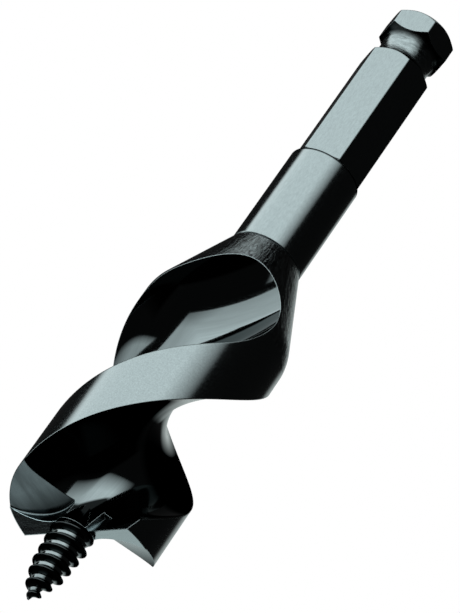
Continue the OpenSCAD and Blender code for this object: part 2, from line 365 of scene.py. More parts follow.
def shoulder_arc(steps):
    """Points of the round that leads from the cone into the cylinder."""
    for i in range(steps + 1):
        a = CONE_ANGLE * (1 - i / steps)
        r = CUT_R - SHOULDER_ROUND + SHOULDER_ROUND * math.cos(a)
        yield (r, SHOULDER_CENTRE_Z + SHOULDER_ROUND * math.sin(a))


blank_profile = [(0, SEAT_Z - SEAM_GAP), (NECK_R - SEAM_CHAMFER, SEAT_Z - SEAM_GAP)]
blank_profile += [(NECK_R + SEAM_DEPTH * CONE_SLOPE, SEAT_Z - SEAM_DEPTH), *shoulder_arc(steps=24)]
blank_profile += [(CUT_R, EDGE_Z - OVERCUT), (0, EDGE_Z - OVERCUT)]
blank = lathe("blank", blank_profile, steps=256, material=land_steel)
blank.data.materials.append(cone_steel)
for face in blank.data.polygons:
    face.material_index = int(face.center.z * 1000 > SHOULDER_CENTRE_Z)
print("blank:", len(blank.data.polygons), "faces")

# %% [markdown]
# ## Flutes
# A flute is what a round cutter leaves when it follows a helix and then lifts out of the steel. The path is a curve,
# the cutter's section is a second curve, and Geometry Nodes sweep one along the other, repeat the sweep round the
# axis and subtract it from the blank. At its upper end the path leaves the helix on the arc of the milling cutter.
# That shallow way out gives the flute its oval mouth.

# %% Path and section of a flute
LEAD = 73.0
WEB = 3.4
FLUTE_R = 9.0
FLUTE_FLAT = 1.0
FLAT_FROM, FLAT_TO, FLAT_SHARPNESS = 190, 283, 1.3
RUN_OUT_Z = SEAT_Z - 20.0
MILL_R = 30.0
RUN_OUT_AZIMUTH = -32
RUN_OUT_TURN = 53
FLUTE_LOW_Z = EDGE_Z - FLUTE_R - OVERCUT
FLUTE_REACH = WEB / 2 + FLUTE_R
TURN = 360 / LEAD


def flute_azimuth(z):
    return RUN_OUT_AZIMUTH + (z - RUN_OUT_Z) * TURN


def flute_path(helix_steps, lift_steps):
    """Centres and tangents of the cutter's path: up the helix, then out of the steel on the mill's own arc."""
    z = np.linspace(FLUTE_LOW_Z, RUN_OUT_Z, helix_steps)
    a = np.radians(flute_azimuth(z))
    out = np.stack([np.sin(a), -np.cos(a), 0 * a], -1)
    t = FLUTE_REACH * math.radians(TURN) * np.stack([np.cos(a), np.sin(a), 0 * a], -1) + UP
    t /= np.linalg.norm(t, axis=-1, keepdims=True)
    c = FLUTE_REACH * out
    c[:, 2] = z
    lift = np.radians(np.linspace(0, RUN_OUT_TURN, lift_steps + 1))[1:, None]
    c_lift = c[-1] + MILL_R * (np.sin(lift) * t[-1] + (1 - np.cos(lift)) * out[-1])
    t_lift = np.cos(lift) * t[-1] + np.sin(lift) * out[-1]
    return np.vstack([c, c_lift]), np.vstack([t, t_lift])


def section_r(a):
    """Radius of the cutter's section at an angle in degrees: a circle with a flatter trailing side."""
    x = np.clip((np.mod(a, 360) - FLAT_FROM) / (FLAT_TO - FLAT_FROM), 0, 1)
    return FLUTE_R - FLUTE_FLAT * np.sin(np.pi * x) ** FLAT_SHARPNESS


def poly_curve(name, points, closed):
    """A curve through points in millimetres. Z up keeps a swept section from rolling about its path."""
    data = bpy.data.curves.new(name, "CURVE")
    data.dimensions = "3D"
    data.twist_mode = "Z_UP"
    line = data.splines.new("POLY")
    line.points.add(len(points) - 1)
    line.points.foreach_set("co", np.column_stack([np.asarray(points) / 1000, np.ones(len(points))]).ravel())
    line.use_cyclic_u = closed
    obj = bpy.data.objects.new(name, data)
    scene.collection.objects.link(obj)
    return obj


path_points = flute_path(helix_steps=150, lift_steps=60)[0]
path = poly_curve("flute_path", path_points, False)
angles = np.arange(0, 360, 2.5)
spokes = np.column_stack([np.cos(np.radians(angles)), np.sin(np.radians(angles)), 0 * angles])
section = poly_curve("flute_section", section_r(angles)[:, None] * spokes, True)
print("path points:", len(path_points), "section points:", len(angles))

# %% [markdown]
# ## Grinding the head
# Each lip is ground in three steps. A rake gash cuts a steep face in front of the edge, a primary relief slopes away
# behind it, and a wheel drops the heel. Prisms and one turned wheel stand for what is ground off. The wheel takes the
# oxide with it, so these faces are a greyer metal with brushed streaks.

# %% Place of the lips
GASH_HEIGHT = 3.5
RAKE = math.radians(19)
RELIEF = math.radians(7)
HEEL_LAND = 4.0
HEEL_GRIND_R = 10.0
HEEL_CORNER = 0.4
HEEL_REACH = 12.6
HEEL_LAG = 50
HEEL_ANGLES = (14, 11)
HEEL_DISHES = (14, 10)
BOSS_R = 3.3
BOSS_LENGTH = 4.0

gash_run = GASH_HEIGHT * math.tan(RAKE)
half_width = math.sqrt(FLUTE_R**2 - (CUT_R - WEB / 2 - FLUTE_R) ** 2)
half_angle = half_width / math.cos(math.atan(LEAD / (2 * math.pi * CUT_R))) * TURN
gash_lag = math.degrees(math.asin(gash_run / CUT_R))
LIP_AZIMUTH = flute_azimuth(EDGE_Z + GASH_HEIGHT) + half_angle - gash_lag
print("cutting edges at azimuth", round(LIP_AZIMUTH, 2), "and", round(LIP_AZIMUTH + 180, 2))


# %% Ground finishes
def painted_shade_away_from_screw(tree):
    """Painted shade: the gash keeps its tone beside the screw and is painted dark farther out."""
    foot = (0, 0, EDGE_Z / 1000)
    far = add(tree, VECTOR_MATH, {0: in_space(tree), 1: foot}, operation="DISTANCE").outputs["Value"]
    return add(tree, MAP_RANGE, {"Value": far, "From Min": 0.0038, "From Max": 0.0048, "To Min": 1.0, "To Max": 0.1})


wheel_marks = math.radians(LIP_AZIMUTH)
# A coarse wheel in a tight corner. Painted shade darkens the gash away from the screw and on its edges, which
# leaves one soft wedge of light beside the screw.
gash_steel = oxide_steel(
    "gash_wheel_ground_steel", LIP_SKIN, gloss=(0.16, 0.3), scale=3000, height=0.000002,
    contrast=0.1, edge=0.0001, edge_wear_and_sheen=0.3, shade=painted_shade_away_from_screw,
)
# A fine wheel along the edge: the palest metal of the bit, with a faint grain that follows the lip.
lip_steel = oxide_steel(
    "lip_fine_ground_steel", LIP_SKIN, gloss=(0.1, 0.2), stretch=(1, 12, 1), scale=2500, height=0.000004,
    contrast=0.15, turn=wheel_marks, edge_wear_and_sheen=1.4,
)
# A coarse wheel across the heel: broad brushed streaks. A painted shade fades them from pale to dark, one way on
# each heel. A ramp says from where to where behind the edge it goes, and its first and last level.
heel_steels = [
    oxide_steel(
        f"{which}_heel_wheel_ground_steel", GROUND_SKIN, gloss=(0.14, 0.28), stretch=(6, 1, 1), scale=500,
        height=0.00001, contrast=0.4, turn=wheel_marks, edge_wear_and_sheen=1.4, shade=by_distance(facing(LIP_AZIMUTH + 90), 0, *ramp),
    )
    for which, ramp in (("first", (3.5, 7.0, 0.3, 1.0)), ("second", (5.0, 11.0, 1.0, 0.3)))
]
print("ground finishes:", [m.name for m in (gash_steel, lip_steel, *heel_steels)])

# %% Cutters of the head
cutters = bpy.data.collections.new("grinds")
scene.collection.children.link(cutters)


def as_cutter(obj):
    scene.collection.objects.unlink(obj)
    cutters.objects.link(obj)


wheel_corner = [
    (HEEL_GRIND_R - HEEL_CORNER + HEEL_CORNER * math.cos(a), -HEEL_CORNER + HEEL_CORNER * math.sin(a))
    for a in np.linspace(0, math.pi / 2, 13)
]
wheel_profile = [(0, -CUT_R), (HEEL_GRIND_R, -CUT_R), *wheel_corner, (0, 0)]
ahead = GASH_HEIGHT * 1.5
gash = [(0, 0), (gash_run, GASH_HEIGHT), (-ahead, GASH_HEIGHT + ahead)]
gash += [(-ahead, -OVERCUT), (-OVERCUT * math.tan(RAKE), -OVERCUT)]
for k, half_turned in enumerate((0, 180)):
    lip = LIP_AZIMUTH + half_turned
    start = BOSS_R * facing(lip) + EDGE_Z * UP
    as_cutter(prism(f"rake_gash_{k}", gash, start, facing(lip + 90), UP, CUT_R, gash_steel))
    wheel = lathe(f"heel_grind_{k}", wheel_profile, steps=160, material=heel_steels[k])
    hinge = lip + math.degrees(math.asin(HEEL_LAND / CUT_R))
    hinge_z = EDGE_Z + HEEL_LAND * math.tan(RELIEF) + CUT_R * math.tan(math.radians(HEEL_DISHES[k]))
    place = (
        Matrix.Translation((0, 0, hinge_z / 1000))
        @ Matrix.Rotation(math.radians(hinge - 90), 4, "Z")
        @ Matrix.Rotation(math.radians(HEEL_ANGLES[k]), 4, "X")
        @ Matrix.Rotation(math.radians(HEEL_DISHES[k]), 4, "Y")
        @ Matrix.Rotation(math.radians(HEEL_LAG), 4, "Z")
        @ Matrix.Translation((HEEL_REACH / 1000, 0, 0))
    )
    wheel.data.transform(place)
    as_cutter(wheel)
far = CUT_R + OVERCUT
drop = far * math.tan(RELIEF)
relief = [(0, 0), (far, drop), (far, -3 * OVERCUT), (-far, -3 * OVERCUT), (-far, drop)]
start = -far * facing(LIP_AZIMUTH) + EDGE_Z * UP
as_cutter(prism("relief", relief, start, facing(LIP_AZIMUTH + 90), UP, 2 * far, lip_steel))
boss_top = EDGE_Z + BOSS_LENGTH
boss_profile = [(0, EDGE_Z), (BOSS_R, EDGE_Z), (WEB / 2, boss_top), (0, boss_top)]
boss = lathe("core_boss", boss_profile, steps=96, material=flute_steel)

# %% [markdown]
# The tree below does the machining in order: sweep, repeat, subtract the flutes, subtract the grinds, add the boss.
# Each cut leaves the material of its cutter on the faces that it makes, so Set Material comes before the cut. Less,
# plus and common are the three kinds of Boolean.

# %% Make and run a tree
LESS, PLUS, COMMON = [{"operation": kind, "solver": "MANIFOLD"} for kind in ("DIFFERENCE", "UNION", "INTERSECT")]


def new_tree(name, inputs, output):
    """A Geometry Nodes tree with named inputs, each given with its kind of socket. Returns it with those inputs."""
    tree = bpy.data.node_groups.new(name, "GeometryNodeTree")
    for label, kind in inputs.items():
        tree.interface.new_socket(label, in_out="INPUT", socket_type="NodeSocket" + kind)
    tree.interface.new_socket(output, in_out="OUTPUT", socket_type="NodeSocketGeometry")
    return tree, add(tree, "NodeGroupInput").outputs


def run_tree(obj, tree, values, name):
    """Runs a tree on an object and returns its result as a plain mesh object. The source object is removed."""
    mod = obj.modifiers.new(tree.name, "NODES")
    mod.node_group = tree
    sockets = {s.name: s.identifier for s in tree.interface.items_tree if s.in_out == "INPUT"}
    for key, value in values.items():
        mod[sockets[key]] = value
    depsgraph = bpy.context.evaluated_depsgraph_get()
    mesh = bpy.data.meshes.new_from_object(obj.evaluated_get(depsgraph), depsgraph=depsgraph)
    mesh.name = name
    obj.modifiers.remove(mod)
    bpy.data.objects.remove(obj)
    made = bpy.data.objects.new(name, mesh)
    scene.collection.objects.link(made)
    return made


# %% Geometry Nodes: cut the twist
kinds = {"Blank": "Geometry", "Flute path": "Object", "Flute section": "Object", "Core boss": "Object"}
kinds |= {"Grinds": "Collection", "Flutes": "Int", "Flute finish": "Material"}
cut, given = new_tree("cut_twist", kinds, "Body")
rail = add(cut, "GeometryNodeObjectInfo", {"Object": given["Flute path"]}).outputs["Geometry"]
outline = add(cut, "GeometryNodeObjectInfo", {"Object": given["Flute section"]}).outputs["Geometry"]
sweep = add(cut, "GeometryNodeCurveToMesh", {"Curve": rail, "Profile Curve": outline, "Fill Caps": True})
finish = add(cut, "GeometryNodeSetMaterial", {"Geometry": sweep, "Material": given["Flute finish"]})
spots = add(cut, "GeometryNodePoints", {"Count": given["Flutes"]})
index = add(cut, "GeometryNodeInputIndex")
share = add(cut, MATH, {0: index, 1: given["Flutes"]}, operation="DIVIDE")
turn = add(cut, MATH, {0: share, 1: 2 * math.pi}, operation="MULTIPLY")
spin = add(cut, "ShaderNodeCombineXYZ", {"Z": turn})
copies = add(cut, "GeometryNodeInstanceOnPoints", {"Points": spots, "Instance": finish, "Rotation": spin})
flutes = add(cut, "GeometryNodeRealizeInstances", {"Geometry": copies})
fluted = add(cut, "GeometryNodeMeshBoolean", {"Mesh 1": given["Blank"], "Mesh 2": flutes}, **LESS)
grinds = add(cut, "GeometryNodeCollectionInfo", {"Collection": given["Grinds"], "Separate Children": True})
ground = add(cut, "GeometryNodeMeshBoolean", {"Mesh 1": fluted, "Mesh 2": grinds}, **LESS)
boss_in = add(cut, "GeometryNodeObjectInfo", {"Object": given["Core boss"]})
joined = add(cut, "GeometryNodeMeshBoolean", {"Mesh 2": ground}, **PLUS)
cut.links.new(boss_in.outputs["Geometry"], joined.inputs["Mesh 2"])
whole = add(cut, "GeometryNodeRealizeInstances", {"Geometry": joined})
add(cut, "NodeGroupOutput", {0: whole})

values = {"Flute path": path, "Flute section": section, "Core boss": boss}
values |= {"Grinds": cutters, "Flutes": 2, "Flute finish": flute_steel}
body = run_tree(blank, cut, values, "twist_body")
for obj in [path, section, boss, *cutters.objects]:
    bpy.data.objects.remove(obj)
bpy.data.collections.remove(cutters)
print("body:", len(body.data.polygons), "faces,", [m.name if m else None for m in body.data.materials])

# %% [markdown]
# ## True normals for the twist
# A mesh is only a set of flat facets, and a polished surface shows them at once. The rule that made the surface also
# gives its true direction at any point: square to the cutter's path in a flute, square to the profile on the turned
# blank. Those directions go into the mesh as custom normals, so the mirror images in the flutes come out clean.

# %% Rules for normals
def flute_normals(p):
    """Surface directions for points on the first flute, how far each is from it, and its place along and across."""
    centres, tangents = flute_path(helix_steps=900, lift_steps=360)
    near = np.concatenate([np.argmin(((q[:, None] - centres) ** 2).sum(-1), axis=1) for q in np.array_split(p, 60)])
    t = tangents[near]
    c = centres[near] + ((p - centres[near]) * t).sum(-1, keepdims=True) * t
    out = np.cross(t, UP)
    out /= np.linalg.norm(out, axis=-1, keepdims=True)
    side = np.cross(t, out)
    x, y = ((p - c) * out).sum(-1), ((p - c) * side).sum(-1)
    a = np.arctan2(y, x)
    r = section_r(np.degrees(a))
    lean = (section_r(np.degrees(a) + 0.5) - section_r(np.degrees(a) - 0.5)) / math.radians(1.0) / r
    n = (np.cos(a) + lean * np.sin(a))[:, None] * out + (np.sin(a) - lean * np.cos(a))[:, None] * side
    steps = np.linalg.norm(np.diff(centres, axis=0), axis=-1)
    way = np.concatenate([[0], np.cumsum(steps)])[near]
    place = np.stack([way, r * np.mod(a, 2 * np.pi), 0 * r], -1)
    return -n / np.linalg.norm(n, axis=-1, keepdims=True), np.abs(np.hypot(x, y) - r), place


def soft_normals(mesh, limit):
    """Corner normals averaged over neighbours of the same finish that meet at less than the limit in degrees."""
    faces = mesh.polygons
    normal = np.array([f.normal for f in faces])
    area = np.array([f.area for f in faces])
    at = [[] for _ in mesh.vertices]
    for f in faces:
        for v in f.vertices:
            at[v].append(f.index)
    near = math.cos(math.radians(limit))
    out = np.zeros((len(mesh.loops), 3))
    for f in faces:
        for corner in f.loop_indices:
            others = [k for k in at[mesh.loops[corner].vertex_index] if faces[k].material_index == f.material_index]
            keep = [k for k in others if normal[k] @ normal[f.index] > near]
            total = (normal[keep] * area[keep, None]).sum(0)
            size = np.linalg.norm(total)
            out[corner] = total / size if size > 1e-14 else normal[f.index]
    return out


def set_normals(mesh, normals):
    mesh.polygons.foreach_set("use_smooth", np.ones(len(mesh.polygons), bool))
    mesh.normals_split_custom_set(normals.tolist())
    mesh.update()


# %% Normals of the flutes
NEAR_FLUTE = 0.05  # mm
HALF_TURN = np.diag([-1.0, -1.0, 1.0])
SECOND_FLUTE = [0, 0, 50]  # so that the second flute gets other marks

mesh = body.data
places = np.array([v.co for v in mesh.vertices]) * 1000
corner_vertex = np.array([c.vertex_index for c in mesh.loops])
corner_face = np.concatenate([[f.index] * f.loop_total for f in mesh.polygons])
finish_of = np.array([mesh.materials[f.material_index].name for f in mesh.polygons])[corner_face]
normals = soft_normals(mesh, limit=30)

corners = np.flatnonzero(finish_of == flute_steel.name)
used, back = np.unique(corner_vertex[corners], return_inverse=True)
first, miss_first, way_first = flute_normals(places[used])
second, miss_second, way_second = flute_normals(places[used] @ HALF_TURN)
nearer = (miss_first < miss_second)[:, None]
best = np.where(nearer, first, second @ HALF_TURN)
good = np.minimum(miss_first, miss_second)[back] < NEAR_FLUTE
good &= (best[back] * normals[corners]).sum(-1) > 0.9
normals[corners[good]] = best[back][good]
way = np.zeros((len(mesh.vertices), 3))
way[used] = np.where(nearer, way_first, way_second + SECOND_FLUTE) / 1000
mesh.attributes.new("flute_way", "FLOAT_VECTOR", "POINT").data.foreach_set("vector", way.ravel())
print("flute corners with a true normal:", int(good.sum()), "of", len(corners))

# %% Normals of the turned faces
turned = np.flatnonzero((finish_of == land_steel.name) | (finish_of == cone_steel.name))
p = places[corner_vertex[turned]]
radial = p * [1, 1, 0] / np.maximum(np.hypot(p[:, 0], p[:, 1]), 1e-9)[:, None]
rise = np.clip((p[:, 2] - SHOULDER_CENTRE_Z) / SHOULDER_ROUND, 0, math.sin(CONE_ANGLE))
true = radial * np.sqrt(1 - rise**2)[:, None] + np.outer(rise, UP)
good = (true * normals[turned]).sum(-1) > 0.97
normals[turned[good]] = true[good]
set_normals(mesh, normals)
print("turned corners with a true normal:", int(good.sum()), "of", len(turned))

# %% [markdown]
# ## Shank
# The real shank is a hexagonal bar. A lathe breaks its corners, chamfers its end and cuts the groove that the chuck's
# ball clicks into, and then turns the neck. The tree makes a six-sided bar, keeps what the turning leaves of it and
# joins the neck.

# %% Turned limits of the shank
groove_floor = GROOVE_FLOOR / 2
groove_rim = groove_floor + NECK_R - GROOVE_R
turning = [(0, 0), (END_FACE_R, 0), (NECK_R, -END_CHAMFER), (NECK_R, -GROOVE_FROM_END + groove_rim)]
turning += [(GROOVE_R, -GROOVE_FROM_END + groove_floor), (GROOVE_R, -GROOVE_FROM_END - groove_floor)]
turning += [(NECK_R, -GROOVE_FROM_END - groove_rim), (NECK_R, SHOULDER_Z - OVERCUT), (0, SHOULDER_Z - OVERCUT)]
bar = lathe("bar", turning, steps=192, material=shank_steel)
neck_profile = [(0, SHOULDER_Z), (NECK_R, SHOULDER_Z), (NECK_R, SEAT_Z + SEAM_CHAMFER)]
neck_profile += [(NECK_R - SEAM_CHAMFER, SEAT_Z), (0, SEAT_Z)]
neck = lathe("neck", neck_profile, steps=192, material=shank_steel)
print("faces of bar and neck:", len(bar.data.polygons), len(neck.data.polygons))

# %% Geometry Nodes: mill the hexagon
kinds = {"Turned bar": "Geometry", "Neck": "Object", "Across flats": "Float", "Length": "Float"}
kinds |= {"Corner turn": "Float", "Finish": "Material"}
mill, given = new_tree("mill_hexagon", kinds, "Shank")
corner_r = add(mill, MATH, {0: given["Across flats"], 1: math.sqrt(3)}, operation="DIVIDE")
sizes = {"Vertices": 6, "Radius": corner_r, "Depth": given["Length"]}
bar6 = add(mill, "GeometryNodeMeshCylinder", sizes, fill_type="NGON")
down = add(mill, MATH, {0: given["Length"], 1: -0.5}, operation="MULTIPLY")
move = add(mill, "ShaderNodeCombineXYZ", {"Z": down})
spin = add(mill, "ShaderNodeCombineXYZ", {"Z": given["Corner turn"]})
placed = add(mill, "GeometryNodeTransform", {"Geometry": bar6, "Translation": move, "Rotation": spin})
hexed = add(mill, "GeometryNodeMeshBoolean", {"Mesh 2": given["Turned bar"]}, **COMMON)
mill.links.new(placed.outputs["Geometry"], hexed.inputs["Mesh 2"])
neck_in = add(mill, "GeometryNodeObjectInfo", {"Object": given["Neck"]})
whole = add(mill, "GeometryNodeMeshBoolean", {"Mesh 2": neck_in.outputs["Geometry"]}, **PLUS)
mill.links.new(hexed.outputs["Mesh"], whole.inputs["Mesh 2"])
real = add(mill, "GeometryNodeRealizeInstances", {"Geometry": whole})
finish = add(mill, "GeometryNodeSetMaterial", {"Geometry": real, "Material": given["Finish"]})
add(mill, "NodeGroupOutput", {0: finish})

INTO_NECK = 0.5  # mm that the bar reaches into the neck
values = {"Neck": neck, "Across flats": HEX_AF / 1000, "Length": (HEX_LENGTH + INTO_NECK) / 1000}
values |= {"Corner turn": math.radians(HEX_CORNER_AZIMUTH - 90), "Finish": shank_steel}
shank = run_tree(bar, mill, values, "hex_bar")
bpy.data.objects.remove(neck)
print("shank:", len(shank.data.polygons), "faces")

# %% Normals and groove of the shank
SMALLEST_FLAT, LARGEST_TURNED = 2e-7, 2e-6  # square metres
SLACK = 0.01
FLANK_LEAN = math.radians(-50)

mesh = shank.data
mesh.materials.append(groove_steel)
flats = [Vector(facing(HEX_CORNER_AZIMUTH + 30 + 60 * k)) for k in range(6)]
normals = np.zeros((len(mesh.loops), 3))
for f in mesh.polygons:
    on_flat = any(f.normal @ flat > 0.99999 and f.area > SMALLEST_FLAT for flat in flats)
    plane = abs(f.normal.z) > 0.999 or on_flat
    off = [mesh.vertices[v].co.z * 1000 + GROOVE_FROM_END for v in f.vertices]
    inside = math.hypot(f.center.x, f.center.y) * 1000 < NECK_R - SLACK and max(map(abs, off)) < groove_rim + SLACK
    in_groove = inside and f.area < LARGEST_TURNED and abs(f.normal.z) < 0.9
    f.material_index = int(in_groove)
    for corner in f.loop_indices:
        co = mesh.vertices[mesh.loops[corner].vertex_index].co
        out = Vector((co.x, co.y, 0)).normalized()
        rise = f.normal.z
        if in_groove:
            share = (co.z * 1000 + GROOVE_FROM_END) / groove_rim
            rise = math.sin(FLANK_LEAN * share * (1 if share > 0 else abs(share)))
        smooth = out * math.sqrt(max(0, 1 - rise**2)) + Vector((0, 0, rise))
        normals[corner] = f.normal if plane and not in_groove else smooth
set_normals(mesh, normals)
print("groove faces:", sum(f.material_index == 1 for f in mesh.polygons))

# %% [markdown]
# ## Screw point
# A thread is one ridge that runs round a cone. The grid below has one direction along the helix and one across a
# single pitch, and every point is lifted to its place by depth, radius and turn. Where one turn ends the next begins,
# so merging close points closes the skin. The height of the ridge is kept as an attribute, which the finish reads.

# %% Sizes of the screw
SCREW_LENGTH = 13.4
PITCH = 1.95
SCREW_R, SCREW_LOW_R = 3.7, 2.95
CORE_TIP_R = 0.15
THREAD_DEPTH = 0.9
TAPER = 8.0
RIDGE_HALF, CREST_HALF = 0.36, 0.06  # shares of a pitch
THREAD_BEGINS, THREAD_FULL = -0.4, 0.0  # turns
TIP_FADE = 1.6
TOP_GAP = 0.1
CREST_START = RIDGE_HALF * PITCH + TOP_GAP
ACROSS, ROUND = 24, 72
TURNS = math.ceil((SCREW_LENGTH - CREST_START) / PITCH + 0.5) + 1
print("screw:", TURNS, "turns of", ROUND, "by", ACROSS, "faces")

# %% Geometry Nodes: roll the thread
# A modifier hands its object's geometry to the first input. This tree needs none of it and draws its own grid.
lengths = ("Pitch", "Length", "Taper", "Core top", "Core low", "Core tip", "Depth")
kinds = {"Nothing": "Geometry", **{name: "Float" for name in lengths}, "Finish": "Material"}
roll, given = new_tree("roll_thread", kinds, "Thread")
grid = add(roll, "GeometryNodeMeshGrid", {"Vertices X": TURNS * ROUND + 1, "Vertices Y": ACROSS + 1})
index = add(roll, "GeometryNodeInputIndex")
column = add(roll, MATH, {0: index, 1: ACROSS + 1}, operation="DIVIDE")
column = add(roll, MATH, {0: column}, operation="FLOOR")
row = add(roll, MATH, {0: index, 1: ACROSS + 1}, operation="MODULO")
u = add(roll, MATH, {0: column, 1: 1 / ROUND, 2: -1.0}, operation="MULTIPLY_ADD")
v = add(roll, MATH, {0: row, 1: 1 / ACROSS, 2: -0.5}, operation="MULTIPLY_ADD")
along = add(roll, MATH, {0: u, 1: v}, operation="ADD")
deep = add(roll, MATH, {0: along, 1: given["Pitch"], 2: CREST_START}, operation="MULTIPLY_ADD")
depth = add(roll, "ShaderNodeClamp", {"Value": deep, "Min": 0.0, "Max": given["Length"]})
slope = {"From Max": given["Taper"], "To Min": given["Core top"], "To Max": given["Core low"]}
upper = add(roll, MAP_RANGE, {"Value": depth, **slope}, clamp=False)
slope = {"From Min": given["Taper"], "To Min": given["Core low"], "To Max": given["Core tip"]}
lower = add(roll, MAP_RANGE, {"Value": depth, "From Max": given["Length"], **slope}, clamp=False)
core = add(roll, MATH, {0: upper, 1: lower}, operation="MINIMUM")
off = add(roll, MATH, {0: v}, operation="ABSOLUTE")
ridge = add(roll, MAP_RANGE, {"Value": off, "From Min": RIDGE_HALF, "From Max": CREST_HALF})
start = add(roll, MAP_RANGE, {"Value": u, "From Min": THREAD_BEGINS, "From Max": THREAD_FULL})
tip = add(roll, MATH, {0: given["Length"], 1: TIP_FADE}, operation="SUBTRACT")
ending = add(roll, MAP_RANGE, {"Value": depth, "From Min": given["Length"], "From Max": tip})
height = add(roll, MATH, {0: ridge, 1: start}, operation="MULTIPLY")
height = add(roll, MATH, {0: height, 1: ending}, operation="MULTIPLY")
radius = add(roll, MATH, {0: height, 1: given["Depth"], 2: core}, operation="MULTIPLY_ADD")
ended = add(roll, MATH, {0: depth, 1: SCREW_LENGTH - 0.001}, operation="LESS_THAN")
radius = add(roll, MATH, {0: radius, 1: ended}, operation="MULTIPLY")
turn = add(roll, MATH, {0: u, 1: -2 * math.pi}, operation="MULTIPLY")
sine = add(roll, MATH, {0: turn}, operation="SINE")
cosine = add(roll, MATH, {0: turn}, operation="COSINE")
x = add(roll, MATH, {0: radius, 1: sine}, operation="MULTIPLY")
y = add(roll, MATH, {0: radius, 1: cosine}, operation="MULTIPLY")
y = add(roll, MATH, {0: y, 1: -1.0}, operation="MULTIPLY")
z = add(roll, MATH, {0: EDGE_Z, 1: depth}, operation="SUBTRACT")
spot = add(roll, "ShaderNodeCombineXYZ", {"X": x, "Y": y, "Z": z})
spot = add(roll, VECTOR_MATH, {0: spot, "Scale": 0.001}, operation="SCALE")
lift = add(roll, "GeometryNodeSetPosition", {"Geometry": grid, "Position": spot})
named = add(roll, "GeometryNodeStoreNamedAttribute", {"Geometry": lift, "Name": "thread_height", "Value": height})
merged = add(roll, "GeometryNodeMergeByDistance", {"Geometry": named, "Distance": 2e-6})
real = add(roll, "GeometryNodeRealizeInstances", {"Geometry": merged})
finish = add(roll, "GeometryNodeSetMaterial", {"Geometry": real, "Material": given["Finish"]})
add(roll, "NodeGroupOutput", {0: finish})

seed = bpy.data.objects.new("thread_seed", bpy.data.meshes.new("thread_seed"))
scene.collection.objects.link(seed)
core_radii = (SCREW_R - THREAD_DEPTH, SCREW_LOW_R - THREAD_DEPTH, CORE_TIP_R)
values = dict(zip(lengths, (PITCH, SCREW_LENGTH, TAPER, *core_radii, THREAD_DEPTH)))
screw = run_tree(seed, roll, {**values, "Finish": screw_steel}, "screw_point")

# %% Close the screw
bm = bmesh.new()
bm.from_mesh(screw.data)
bmesh.ops.dissolve_degenerate(bm, edges=bm.edges, dist=1e-7)
bmesh.ops.holes_fill(bm, edges=[e for e in bm.edges if len(e.link_faces) == 1])
bmesh.ops.recalc_face_normals(bm, faces=bm.faces)
open_edges = sum(len(e.link_faces) != 2 for e in bm.edges)
volume = bm.calc_volume(signed=True)
bm.to_mesh(screw.data)
bm.free()
set_normals(screw.data, soft_normals(screw.data, limit=50))
print("screw:", len(screw.data.polygons), "faces, open edges", open_edges, "volume mm3", round(volume * 1e9, 1))

# %% [markdown]
# ## Into the frame
# Each drawn piece stands for its CAD node and takes that node's place in the frame, and the node is hidden.

# %% Pieces take their places
for piece, node, slot in (
    (shank, "hex_shank", "shank_steel"),
    (body, "auger_body", "body_steel"),
    (screw, "feed_screw", "screw_steel"),
):
    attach(piece, "root")
    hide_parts(node)
    print(piece.name, "stands for", node)

# %% [markdown]
# ## Studio
# The photo shows a black mirror-like tool on white, so what the steel mirrors makes the picture. A large softbox stands
# to the front left and above, its right end fades out, and the rest of the room is dark, which is what makes the
# flutes black. The floor is a wide sheet of pale paper that keeps the bit's shadow and fades to white for the camera,
# so that no edge shows. From below it lets the view through.

# %% Floor
FLOOR_Z = -0.345
FADE_FROM, FADE_TO = 0.3, 1.2  # metres from the bit

bpy.ops.mesh.primitive_plane_add(size=12.0, location=(0, 0, FLOOR_Z))
floor = bpy.context.object
floor.name = "floor"
paper = bpy.data.materials.new("pale_matt_paper")
paper.use_nodes = True
tree = paper.node_tree
sheet = tree.nodes["Principled BSDF"]
sheet.inputs["Base Color"].default_value = linear("#E6E6E4")
sheet.inputs["Roughness"].default_value = 0.9
rays = add(tree, "ShaderNodeLightPath").outputs
away = add(tree, VECTOR_MATH, {0: in_space(tree)}, operation="LENGTH").outputs["Value"]
band = {"Value": away, "From Min": FADE_FROM, "From Max": FADE_TO}
fade = add(tree, MAP_RANGE, band, interpolation_type="SMOOTHSTEP")
fade = add(tree, MATH, {0: fade, 1: rays["Is Camera Ray"]}, operation="MULTIPLY")
white = add(tree, "ShaderNodeEmission", {"Color": (1.0, 1.0, 1.0, 1.0)})
upper = add(tree, "ShaderNodeMixShader", {0: fade, 1: sheet, 2: white})
under = add(tree, "ShaderNodeBsdfTransparent")
below = add(tree, "ShaderNodeNewGeometry").outputs["Backfacing"]
both = add(tree, "ShaderNodeMixShader", {0: below, 1: upper, 2: under})
tree.links.new(both.outputs[0], tree.nodes["Material Output"].inputs["Surface"])
floor.data.materials.append(paper)
floor.visible_glossy = False
print("floor:", floor.name, "at", FLOOR_Z, "m")

# %% [markdown]
# A softbox is a curved panel on a sphere round the bit, given by the directions that it covers. Its corners carry their
# share of the way across and up as an attribute, and the material lets the light die away toward an end by that share.
# The camera doesn't see the panels, but the steel does.

# %% Softboxes
REACH = 2.0  # metres
CENTRE = np.array([0, 0, -0.07])
STEPS_ACROSS, STEPS_UP = 48, 24
FULL_FROM = 0.65  # share of the height from which a panel has its full strength
SOFTNESS = 0.75


